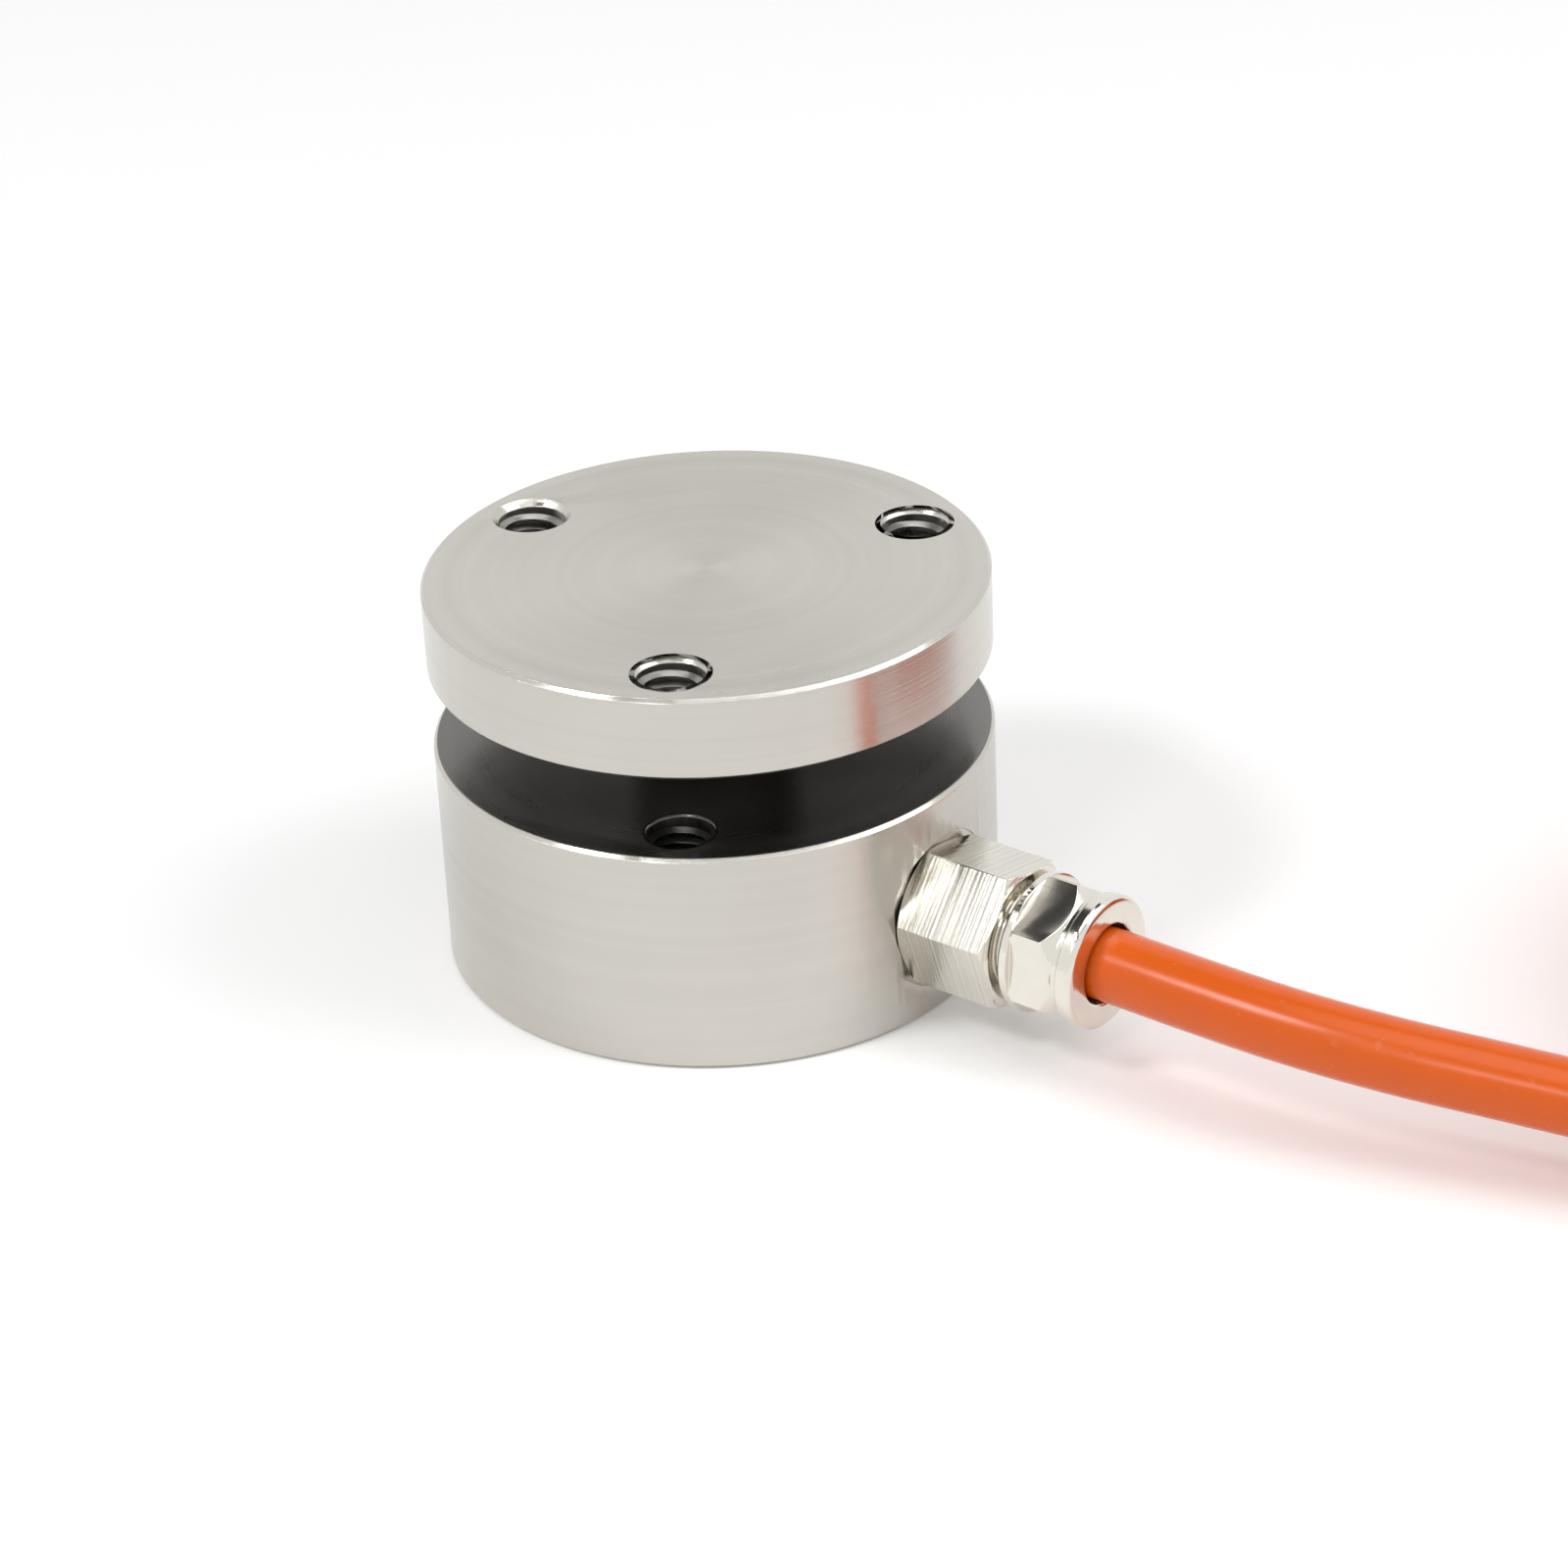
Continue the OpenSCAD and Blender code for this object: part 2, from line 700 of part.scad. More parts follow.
// Across, height above the lowest and sideways reach of the leads: red, black, shield, white and green
lead_layout = [[-1.3, 1.4, -5], [-1.3, 0, -2.5], [0, 0.7, 0], [1.3, 0, 2.5], [1.3, 1.4, 5]];

function lead_path(i) =
    let (layout = lead_layout[i])
    [for (k = [0 : lead_steps]) lead_point(layout[0], layout[1], layout[2], k / lead_steps)];

module lead(i) {
    sweep(lead_path(i), core_d / 2, lead_sides);
}

module lead_red() {
    color("#b8261e") lead(0);
}

module lead_black() {
    color("#1d1d1f") lead(1);
}

module lead_shield() {
    color("#a9a8a2") lead(2);
}

module lead_white() {
    color("#e8e6df") lead(3);
}

module lead_green() {
    color("#2c7a3c") lead(4);
}

module lead_tips() {
    color("#c3c6c9") for (i = [0 : len(lead_layout) - 1]) {
        path = lead_path(i);
        end = path[lead_steps];
        heading = end - path[lead_steps - 1];
        flat = [heading.x, heading.y, 0];
        sweep([end, end + tip_l * flat / norm(flat)], core_d / 2 * tip_share, lead_sides);
    }
}

spring_element();
bottom_cover();
cover_gasket();
cover_screws();
inner_gauges();
outer_gauges();
gauge_leads();
terminal_board();
board_spacer();
board_screw();
bridge_resistors();
core_joints();
core_red();
core_black();
core_green();
core_white();
gland_body();
gland_seal();
clamp_bush();
clamp_washer();
gland_nut();
cable_run();
cable_coil();
coil_ties();
cable_tail();
end_sleeve();
lead_red();
lead_black();
lead_green();
lead_white();
lead_shield();
lead_tips();
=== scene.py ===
import json
import math

import bpy
from mathutils import Matrix, Vector


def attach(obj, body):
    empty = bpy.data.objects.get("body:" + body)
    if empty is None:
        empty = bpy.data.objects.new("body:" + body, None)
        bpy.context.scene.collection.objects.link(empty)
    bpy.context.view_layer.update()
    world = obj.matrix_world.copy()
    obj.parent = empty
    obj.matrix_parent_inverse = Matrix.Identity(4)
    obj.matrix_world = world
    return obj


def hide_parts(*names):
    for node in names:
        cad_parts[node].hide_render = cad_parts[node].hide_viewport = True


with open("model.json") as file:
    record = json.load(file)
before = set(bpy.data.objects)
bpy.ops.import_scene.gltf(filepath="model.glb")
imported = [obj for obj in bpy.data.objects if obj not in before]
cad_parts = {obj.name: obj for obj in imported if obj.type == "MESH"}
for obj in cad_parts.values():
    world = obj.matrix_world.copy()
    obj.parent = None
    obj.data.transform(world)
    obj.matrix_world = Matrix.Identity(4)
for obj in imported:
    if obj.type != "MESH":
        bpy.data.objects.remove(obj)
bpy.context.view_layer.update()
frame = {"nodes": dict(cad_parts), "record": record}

MM = 0.001

# The camera stands where the outlines in the photograph place it, in the frame turned by VIEW_TURN
VIEW_TURN = math.radians(39.76)
CAMERA_PITCH = 0.500467
CAMERA_YAW = 0.016834
CAMERA_ROLL = -0.047098
CAMERA_BACK = 353.72 * MM
CAMERA_UP = 207.52 * MM
FOCAL_PIXELS = 4581.6
PHOTO_PIXELS = 1600
SENSOR_WIDTH = 36
CLIP_START = 0.01
CLIP_END = 50

# Sizes of the solids that pieces and materials made here have to meet. From here on lengths are in
# millimetres and angles in degrees
FLANGE_RADIUS = 25
RING_TOP = 20.8
FLANGE_BOTTOM = 28.4
FLANGE_TOP = 36
EDGE_CHAMFER = 0.35
HOLE_CIRCLE = 20
HOLE_ANGLES = [60, 180, 300]
HOLE_RADIUS = 3
HOLE_MOUTH = 0.7
GLAND_HEIGHT = 9.6
GLAND_SEAT = 24.2
GLAND_FRONT = 33.8
GLAND_CHAMFER = 0.3
NUT_BACK = 34.7
NUT_THREAD_EDGE = (4.75, 4.8)
NUT_THREAD_PITCH = 0.45

# The thread in the six mounting holes, as a ridge that winds up the wall. Its section runs over the
# crest and back through a point sunk in the wall. A row of holes has the height at which its threads
# begin and their number of turns
THREAD_PITCH = 1
THREAD_INNER = 2.46
THREAD_ROOT = 3.04
THREAD_SECTION = [
    (THREAD_ROOT, 0.06),
    (THREAD_INNER, 0.38),
    (THREAD_INNER, 0.62),
    (THREAD_ROOT, 0.94),
    (THREAD_ROOT + 0.06, 0.5),
]
THREAD_STEPS = 36
THREAD_ROWS = {"flange_threads": (28.45, 6), "ring_threads": (0.3, 19)}

# Edges are broken by a narrow bevel where faces meet at more than BEVEL_ANGLE
BODY_BEVEL = 0.06
GLAND_BEVEL = 0.08
BEVEL_ANGLE = 28
SHADE_ANGLE = 25
WELD_DISTANCE = 0.002
FLAT_ANGLE = 0.3

# The cable's route: through the gland, down to the floor, round the coil and on to its stripped end
CABLE_RADIUS = 3.2
RUN_POINTS = [
    (13.2, 0, 9.6),
    (28, 0, 9.6),
    (42, 0, 9.6),
    (51, 0, 9.5),
    (60, 0.4, 9.3),
    (69, 1.8, 8.9),
    (78, 4, 8.4),
    (91, 7.5, 7.5),
    (102.5, 10.8, 6.5),
    (114, 14.8, 5.1),
]

# The coil has three layers. Steps are given by the turn at which they end and whether they lead
# inwards or outwards, and rises by the turn at which they start and their height
COIL_CENTRE = (112.5, 59.1)
COIL_MIDDLE = 36
COIL_OUTER = 42.4
COIL_FLOOR = 4.0
COIL_ENTRY_ANGLE = -71
COIL_SHIFT = 0.3
COIL_STEPS = [(1, -1), (2, -1), (3.4, 1), (4.4, 1), (5.8, -1), (6.8, -1), (7.8, 1)]
COIL_RISES = [(2.4, 6.4), (4.8, 6.4), (7.2, 7.2)]
COIL_TOP = 20
COIL_TURNS = 7.85
POINTS_PER_TURN = 16

# The cable's end lies on the coil: a straight piece in its sleeve, then the leads that fan out. The
# jacket's last points lie at JACKET_SHARES of the sleeve
SLEEVE_START = 2
SLEEVE_LENGTH = 18
SLEEVE_CLOSE = 4
SLEEVE_RADIUS = 3.7
SLEEVE_END_RADIUS = 2.6
JACKET_SHARES = (0.2, 0.6, 1)
END_LEVEL = 24
END_ANGLE = 235
END_HALF_LENGTH = (SLEEVE_START + SLEEVE_LENGTH + SLEEVE_CLOSE) / 2
END_HALF_ANGLE = math.degrees(math.asin(END_HALF_LENGTH / COIL_MIDDLE))
END_HEADING = END_ANGLE + END_HALF_ANGLE + 90

# A lead has its offset across, its height over the lowest lead and how far it reaches sideways.
# FAN_START is the share of that reach that comes in proportion to the length, FALL_RATE says how
# early the leads come down on the coil, and STACK_HOLD is the share along which they stay stacked
LEAD_RADIUS = 0.6
LEAD_LENGTH = 40
LEAD_LOW = 0.7
FAN_START = 0.3
FALL_RATE = 1.4
STACK_HOLD = 0.2
LEADS = {
    "red": (-1.3, 1.4, -5),
    "black": (-1.3, 0, -2.5),
    "shield": (0, 0.7, 0),
    "white": (1.3, 0, 2.5),
    "green": (1.3, 1.4, 5),
}

# Bare wire has six strands wound round a seventh, one turn in a length of lay
STRANDS = 7
SHIELD_LAY = 6
TIP_LENGTH = 6
TIP_RADIUS = 0.36
TIP_LAY = 5

# Colours are linear. Steel and nickel are a little warm
STEEL = (0.62, 0.597, 0.55)
# The next two steels are painted shade: darker steel for the gap, the chamber and the holes
SHADED_STEEL_INSIDE = (0.17, 0.165, 0.155)
SHADED_STEEL_IN_HOLES = (0.36, 0.35, 0.33)
COVER = (0.55, 0.54, 0.52)
SCREW = (0.30, 0.30, 0.31)
NICKEL = (0.79, 0.76, 0.69)
ORANGE = (0.79, 0.122, 0.008)
SCUFFED_ORANGE = (0.80, 0.20, 0.06)
RUBBER = (0.022, 0.022, 0.024)
DUST = (0.12, 0.12, 0.12)
FILM = (0.58, 0.26, 0.06)
FOIL = (0.62, 0.60, 0.55)
COPPER = (0.72, 0.34, 0.18)
SOLDER_MASK = (0.03, 0.16, 0.06)
TRACK = (0.10, 0.34, 0.12)
BRASS = (0.70, 0.52, 0.22)
MOULDING = (0.03, 0.03, 0.035)
TIN = (0.66, 0.66, 0.66)
NYLON = (0.66, 0.63, 0.53)
RED = (0.45, 0.02, 0.012)
BLACK = (0.018, 0.018, 0.019)
GREEN = (0.02, 0.22, 0.05)
WHITE = (0.74, 0.73, 0.68)
STRAP = (0.028, 0.03, 0.034)
FLUFF = (0.09, 0.09, 0.10)
SLEEVE = (0.02, 0.02, 0.022)
PAPER = (0.93, 0.93, 0.93)
LIGHT = (1, 1, 1)
SHADE = (0.04, 0.04, 0.042)

# The paper floor gets a weak glow where it is seen, so that it ends in white far away. GLOW_FADE holds
# the distances between which it grows
FLOOR_SIZE = 8000
FLOOR_GLOW = 0.12
FAR_GLOW = 0.55
GLOW_FADE = (250, 1200)

# The room is white, with a dark band high up that only reflections and the camera see. The band is
# given by how steeply it lies, as the upward part of its direction
ROOM_LIGHT = 0.35
DARK_BAND = (0.8, 0.92)
DARK_BAND_EDGE = 0.03

# Lamps: azimuth from the camera, elevation, distance and size (these two in metres), and power in watts
LAMPS = {
    "right_softbox": (80, 46, 1.0, 0.55, 3.0),
    "left_softbox": (-66, 50, 1.0, 0.22, 3.0),
    "overhead_softbox": (46, 80, 1.3, 1.1, 4.6),
    "window": (-27, 40, 1.0, 0.15, 0.75),
}


def millimetres(points):
    return [Vector(p) * MM for p in points]


def smooth(share):
    share = min(1, max(0, share))
    return share * share * (3 - 2 * share)


def polar(radius, degrees):
    angle = math.radians(degrees)
    return Vector((radius * math.cos(angle), radius * math.sin(angle), 0))


def add_object(name, data):
    made = bpy.data.objects.new(name, data)
    bpy.context.scene.collection.objects.link(made)
    return made


# Camera and cable


def add_camera():
    ahead = Vector((
        math.sin(CAMERA_YAW) * math.cos(CAMERA_PITCH),
        math.cos(CAMERA_YAW) * math.cos(CAMERA_PITCH),
        -math.sin(CAMERA_PITCH),
    ))
    level = Vector((math.cos(CAMERA_YAW), -math.sin(CAMERA_YAW), 0))
    upright = level.cross(ahead)
    right = math.cos(CAMERA_ROLL) * level + math.sin(CAMERA_ROLL) * upright
    up = math.cos(CAMERA_ROLL) * upright - math.sin(CAMERA_ROLL) * level
    data = bpy.data.cameras.new("photo_camera")
    data.sensor_width = SENSOR_WIDTH
    data.lens = SENSOR_WIDTH * FOCAL_PIXELS / PHOTO_PIXELS
    data.clip_start = CLIP_START
    data.clip_end = CLIP_END
    camera = add_object("photo_camera", data)
    stand = Matrix((right, up, -ahead)).transposed().to_4x4()
    stand.translation = Vector((0, -CAMERA_BACK, CAMERA_UP))
    camera.matrix_world = Matrix.Rotation(VIEW_TURN, 4, "Z") @ stand
    bpy.context.scene.camera = camera


def add_wires(name, lines, radius, sides, steps):
    """Round wires, or a cable, on smooth lines through their points, which are in metres."""
    data = bpy.data.curves.new(name, "CURVE")
    data.dimensions = "3D"
    data.bevel_depth = radius
    data.bevel_resolution = sides
    data.resolution_u = steps
    data.use_fill_caps = True
    for points in lines:
        spline = data.splines.new("BEZIER")
        spline.bezier_points.add(len(points) - 1)
        for knot, point in zip(spline.bezier_points, points):
            knot.co = point
            knot.handle_left_type = "AUTO"
            knot.handle_right_type = "AUTO"
    return add_object(name, data)


def coil_point(turn):
    """The cable's place in the coil after so many turns, counted from where it joins the outer turn."""
    spacing = 2 * CABLE_RADIUS
    radius = COIL_OUTER + sum(
        way * spacing * smooth((turn - end) / COIL_SHIFT + 1) for end, way in COIL_STEPS
    )
    rise = sum(height * smooth((turn - start) / COIL_SHIFT) for start, height in COIL_RISES)
    centre = Vector((*COIL_CENTRE, COIL_FLOOR + rise))
    return centre + polar(radius, COIL_ENTRY_ANGLE + 360 * turn)


def end_point(distance):
    """A place on the cable's straight end, so far from where it leaves the circle."""
    corner = Vector((*COIL_CENTRE, END_LEVEL)) + polar(COIL_MIDDLE, END_ANGLE)
    return corner + polar(distance, END_HEADING)


def add_cable():
    count = round(COIL_TURNS * POINTS_PER_TURN)
    coil = [coil_point(COIL_TURNS * k / count) for k in range(count + 1)]
    end = [end_point(SLEEVE_START + SLEEVE_LENGTH * share) for share in JACKET_SHARES]
    route = millimetres(RUN_POINTS + coil + end)
    cable = add_wires("cable", [route], CABLE_RADIUS * MM, sides=8, steps=5)
    return dress(cable, "orange_jacket", "cable_run", "cable_coil", "cable_tail")


def lead_line(layout, steps=12):
    """Points of a lead from the sleeve to where its insulation ends."""
    across, above, fan = layout
    rest = COIL_TOP + LEAD_RADIUS
    line = []
    for k in range(steps + 1):
        share = k / steps
        angle = END_ANGLE + 2 * END_HALF_ANGLE + math.degrees(LEAD_LENGTH * share / COIL_MIDDLE)
        aside = angle - END_HALF_ANGLE * (1 - share) ** 2
        bow = LEAD_LENGTH * math.tan(math.radians(END_HALF_ANGLE)) * share * (1 - share) ** 2
        spread = share * (FAN_START + (1 - FAN_START) * share)
        fall = (END_LEVEL - LEAD_LOW - rest) * (1 - smooth(FALL_RATE * share))
        stack = above * (1 - smooth((share - STACK_HOLD) / (1 - STACK_HOLD)))
        place = polar(COIL_MIDDLE + bow, angle) + polar(across + fan * spread, aside)
        line.append(Vector((*COIL_CENTRE, rest + fall + stack)) + place)
    return line


def tip_line(lead):
    """Points of the tinned end, straight on from the lead."""
    heading = lead[-1] - lead[-2]
    heading.z = 0
    heading.normalize()
    return [lead[-1] - heading, lead[-1] + heading * TIP_LENGTH / 2, lead[-1] + heading * TIP_LENGTH]


# Node materials


class Number:
    """A number in a material. Arithmetic on it adds Math nodes."""

    def __init__(self, finish, socket):
        self.finish = finish
        self.socket = socket

    def math(self, operation, *others):
        return self.finish.number("ShaderNodeMath", {"operation": operation}, [self, *others])

    def __add__(self, other):
        return self.math("ADD", other)

    __radd__ = __add__

    def __sub__(self, other):
        return self.math("SUBTRACT", other)

    def __rsub__(self, other):
        return self.finish.number("ShaderNodeMath", {"operation": "SUBTRACT"}, [other, self])

    def __mul__(self, other):
        return self.math("MULTIPLY", other)

    __rmul__ = __mul__

    def __pow__(self, power):
        return self.math("POWER", power)

    def __abs__(self):
        return self.math("ABSOLUTE")

    def highest(self, other):
        return self.math("MAXIMUM", other)

    def lowest(self, other):
        return self.math("MINIMUM", other)

    def over(self, low, high):
        """0 below low, 1 above high, and smooth between them."""
        inputs = {"Value": self, "From Min": low, "From Max": high}
        return self.finish.number("ShaderNodeMapRange", {"interpolation_type": "SMOOTHSTEP"}, inputs)

    def between(self, low, high, edge):
        """1 from low to high, falling to 0 over an edge on both sides."""
        return self.over(low - edge, low) * (1 - self.over(high, high + edge))

    def wave(self, period):
        """A sine along this number."""
        return (self * (2 * math.pi / period)).math("SINE")


class Finish:
    """A material under way. Its coordinates are in millimetres."""

    def __init__(self, name, tree=None):
        if tree is None:
            self.material = bpy.data.materials.new(name)
            self.material.use_nodes = True
            tree = self.material.node_tree
            self.shader = tree.nodes["Principled BSDF"]
        self.tree = tree
        place = self.node("ShaderNodeTexCoord")
        scaled = {0: place.outputs["Object"], "Scale": 1 / MM}
        self.place = self.node("ShaderNodeVectorMath", {"operation": "SCALE"}, scaled).outputs[0]
        self.x, self.y, self.z = self.parts(self.place)
        self.facing = self.parts(place.outputs["Normal"])

    def node(self, kind, settings=None, inputs=None):
        """Adds a node: its settings first, then the values or links of its sockets."""
        made = self.tree.nodes.new(kind)
        for name, value in (settings or {}).items():
            setattr(made, name, value)
        if isinstance(inputs, list):
            inputs = dict(enumerate(inputs))
        for name, value in (inputs or {}).items():
            self.feed(made.inputs[name], value)
        return made

    def feed(self, socket, value):
        """Links a number or an output to a socket, or sets the socket to a plain value."""
        if isinstance(value, Number):
            value = value.socket
        if isinstance(value, bpy.types.NodeSocket):
            self.tree.links.new(value, socket)
        else:
            socket.default_value = value

    def number(self, kind, settings=None, inputs=None):
        return Number(self, self.node(kind, settings, inputs).outputs[0])

    def parts(self, vector):
        split = self.node("ShaderNodeSeparateXYZ", None, [vector])
        return [Number(self, socket) for socket in split.outputs]

    def grain(self, scale, detail=2):
        """Cloudy noise from 0 to 1, with scale in features a millimetre."""
        inputs = {"Vector": self.place, "Scale": scale, "Detail": detail}
        return self.number("ShaderNodeTexNoise", None, inputs)

    def lines(self, along, scale, detail=3):
        """Lines across a number, such as the marks of a lathe tool."""
        settings = {"noise_dimensions": "1D"}
        return self.number("ShaderNodeTexNoise", settings, {"W": along, "Scale": scale, "Detail": detail})

    def mix(self, share, first, second):
        """A colour between two, each a colour or a socket."""
        made = self.node("ShaderNodeMix", {"data_type": "RGBA"}, {0: share})
        for index, value in ((6, first), (7, second)):
            self.feed(made.inputs[index], (*value, 1) if isinstance(value, tuple) else value)
        return made.outputs[2]

    def tone(self, colour, share, depth=0.2):
        """The colour, darker by up to depth where share is 1."""
        return self.mix(share, colour, tuple(c * (1 - depth) for c in colour))

    def bump(self, height, strength, distance=0.1):
        inputs = {"Height": height, "Strength": strength, "Distance": distance * MM}
        self.feed(self.shader.inputs["Normal"], self.node("ShaderNodeBump", None, inputs).outputs[0])

    def finished(self, **sockets):
        """The material, with the shader's sockets set by their names in small letters."""
        for name, value in sockets.items():
            if isinstance(value, tuple):
                value = (*value, 1)
            self.feed(self.shader.inputs[name.replace("_", " ").title().replace("Ior", "IOR")], value)
        return self.material


def distance_to_holes(f):
    """Distance from the nearest mounting hole's axis."""
    distances = []
    for angle in HOLE_ANGLES:
        centre = polar(HOLE_CIRCLE, angle)
        across = f.x - centre.x
        along = f.y - centre.y
        distances.append((across * across + along * along) ** 0.5)
    return distances[0].lowest(distances[1]).lowest(distances[2])


def painted_shade_share(f, radius):
    """1 where shade is painted, on faces in the gap, the chamber and the holes, and 0 on the outer faces
    and the holes' rims.
    """
    rim = FLANGE_RADIUS - EDGE_CHAMFER
    in_gap = f.z.between(RING_TOP - 0.1, FLANGE_BOTTOM + 0.1, 0.05) * (1 - radius.over(rim, rim + 0.1))
    in_chamber = f.z.between(0.4, RING_TOP, 0.1) * (1 - radius.over(rim - 1.2, rim - 1))
    near_hole = distance_to_holes(f)
    in_wall = 1 - near_hole.over(HOLE_RADIUS + 0.1, HOLE_RADIUS + 0.2)
    in_holes = f.z.between(0.4, FLANGE_TOP - HOLE_MOUTH, 0.1) * in_wall
    at_rim = near_hole.between(HOLE_RADIUS - 0.04, HOLE_RADIUS + 0.1, 0.02)
    hole_rims = at_rim * f.z.between(RING_TOP - 0.12, RING_TOP + 0.02, 0.01)
    return in_gap.highest(in_chamber).highest(in_holes) * (1 - hole_rims)


def turned_steel():
    """Bright turned steel: fine tool marks round the axis, with painted shade that makes it darker in the
    gap and the holes.

    Its quarter turn of anisotropy draws reflections out along the axis on the sides, and into a fan on top.
    """
    f = Finish("turned_steel")
    radius = (f.x * f.x + f.y * f.y) ** 0.5
    level = abs(f.facing[2]).over(0.6, 0.9)
    along = radius * level + f.z * (1 - level)
    marks = f.lines(along, 7)
    bands = f.lines(along, 0.6, 2)
    cloud = f.grain(0.09)
    # Painted shade: darker steel in the gap, the chamber and the holes
    shade = f.mix(f.z.over(FLANGE_BOTTOM + 0.2, FLANGE_BOTTOM + 0.4), SHADED_STEEL_INSIDE, SHADED_STEEL_IN_HOLES)
    metal = f.mix(painted_shade_share(f, radius), f.tone(STEEL, 0.5 * bands + 0.5 * cloud, 0.16), shade)
    f.bump(marks, 0.16)
    roughness = 0.16 + 0.07 * level + 0.07 * bands + 0.05 * cloud
    return f.finished(base_color=metal, roughness=roughness, metallic=1, anisotropic=0.78,
                      anisotropic_rotation=0.25)


def cover_steel():
    """Sheet steel of the bottom cover, brushed one way."""
    f = Finish("cover_steel")
    brush = f.lines(f.y + 0.02 * f.grain(0.4), 9)
    wear = f.grain(0.2, 4)
    f.bump(brush, 0.15)
    return f.finished(base_color=f.tone(COVER, wear), roughness=0.3 + 0.15 * wear, metallic=1)


def screw_steel():
    f = Finish("screw_steel")
    wear = f.grain(1.5, 4)
    f.bump(f.grain(6, 3), 0.12)
    return f.finished(base_color=f.tone(SCREW, wear, 0.35), roughness=0.28 + 0.2 * wear, metallic=1)


def plated_gland():
    """Nickel plate over machined flats, with milling marks across the gland's axis and the nut's thread."""
    f = Finish("plated_gland")
    height = f.z - GLAND_HEIGHT
    radius = (f.y * f.y + height * height) ** 0.5
    on_body = f.x.between(GLAND_SEAT, GLAND_FRONT - GLAND_CHAMFER, 0.1)
    before_nut = f.x.between(GLAND_FRONT + 0.02, NUT_BACK - 0.02, 0.02)
    thread = before_nut * (1 - radius.over(*NUT_THREAD_EDGE))
    marks = f.lines(f.x + 0.03 * f.grain(0.6), 3.5)
    turned = f.lines(radius, 6)
    wear = f.grain(0.5, 3)
    f.bump(marks * on_body + 0.3 * turned * (1 - on_body) + 5 * thread * f.x.wave(NUT_THREAD_PITCH), 0.2)
    tint = f.tone(NICKEL, 0.4 * wear + 0.6 * marks.over(0.3, 0.7) * on_body, 0.25)
    return f.finished(base_color=tint, roughness=0.09 + 0.08 * wear, metallic=1)


def orange_jacket():
    """Smooth extruded jacket, with a slight waviness and a few dull scuffs."""
    f = Finish("orange_jacket")
    cloud = f.grain(0.35)
    scuff = f.grain(0.7, 4).over(0.6, 0.8)
    f.bump(0.8 * f.grain(0.8, 1) + 0.2 * f.grain(12), 0.1)
    colour = f.mix(0.3 * scuff, f.tone(ORANGE, cloud, 0.1), SCUFFED_ORANGE)
    return f.finished(base_color=colour, roughness=0.24 + 0.12 * scuff, specular_ior_level=0.34)


def rubber(name, colour, roughness=0.6):
    """Black rubber or shrink tube with a little dust."""
    f = Finish(name)
    dust = f.grain(0.9, 5).over(0.5, 0.8)
    f.bump(f.grain(9, 3), 0.25)
    return f.finished(base_color=f.mix(0.35 * dust, colour, DUST), roughness=roughness + 0.15 * dust)


def moulded(name, colour, roughness=0.4):
    """Plain moulded or extruded plastic, with a fine grain and a little unevenness of tone."""
    f = Finish(name)
    cloud = f.grain(0.8, 3)
    f.bump(f.grain(11), 0.14)
    return f.finished(base_color=f.tone(colour, cloud, 0.22), roughness=roughness + 0.12 * cloud)


def bare_metal(name, colour, roughness=0.25):
    """Drawn, turned or tinned metal, uneven and slightly tarnished."""
    f = Finish(name)
    tarnish = f.grain(2.2, 4)
    f.bump(f.grain(7), 0.15)
    return f.finished(base_color=f.tone(colour, tarnish, 0.35), roughness=roughness + 0.2 * tarnish,
                      metallic=1)


def gauge_foil():
    """Amber film with a foil grid of fine lines."""
    f = Finish("gauge_foil")
    grid = f.x.wave(0.22).over(0.1, 0.4) * f.y.wave(2.6).over(-0.7, -0.5)
    colour = f.mix(grid, f.tone(FILM, f.grain(2), 0.15), FOIL)
    return f.finished(base_color=colour, roughness=0.32 + 0.1 * grid, metallic=0.8 * grid)


def circuit_board():
    """Green solder mask over copper tracks that run round the board."""
    f = Finish("board")
    radius = (f.x * f.x + f.y * f.y) ** 0.5
    tracks = radius.wave(1.6).over(0.55, 0.75) * f.x.wave(9).over(-0.6, -0.4)
    f.bump(tracks, 0.3)
    colour = f.mix(0.5 * tracks, f.tone(SOLDER_MASK, f.grain(3)), TRACK)
    return f.finished(base_color=colour, roughness=0.3 + 0.1 * tracks)


def woven_strap():
    """Black strap with fine ribs along it."""
    f = Finish("strap")
    ribs = f.z.wave(0.7) * 0.5 + f.x.wave(0.7) * 0.5
    fluff = f.grain(5, 4)
    f.bump(0.6 * ribs + 0.4 * fluff, 0.5, 0.2)
    return f.finished(base_color=f.mix(0.4 * fluff, STRAP, FLUFF), roughness=0.8)


FINISHES = {
    "turned_steel": turned_steel(),
    "cover_steel": cover_steel(),
    "screw_steel": screw_steel(),
    "plated_gland": plated_gland(),
    "black_rubber": rubber("black_rubber", RUBBER),
    "orange_jacket": orange_jacket(),
    "gauge_foil": gauge_foil(),
    "copper_wire": bare_metal("copper_wire", COPPER),
    "board": circuit_board(),
    "spacer_brass": bare_metal("spacer_brass", BRASS),
    "resistor_black": moulded("resistor_black", MOULDING),
    "solder": bare_metal("solder", TIN, 0.18),
    "washer_plastic": moulded("washer_plastic", NYLON),
    "red_core": moulded("red_core", RED, 0.33),
    "black_core": moulded("black_core", BLACK, 0.33),
    "green_core": moulded("green_core", GREEN, 0.33),
    "white_core": moulded("white_core", WHITE, 0.33),
    "shield_braid": bare_metal("shield_braid", TIN, 0.22),
    "strap": woven_strap(),
    "shrink_sleeve": rubber("shrink_sleeve", SLEEVE, 0.42),
}


# Pieces


def dress(piece, slot, *nodes):
    """Gives a new piece its finish, its body and the nodes that it stands for."""
    piece.data.materials.clear()
    piece.data.materials.append(FINISHES[slot])
    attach(piece, "root")
    if nodes:
        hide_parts(*nodes)
    return piece


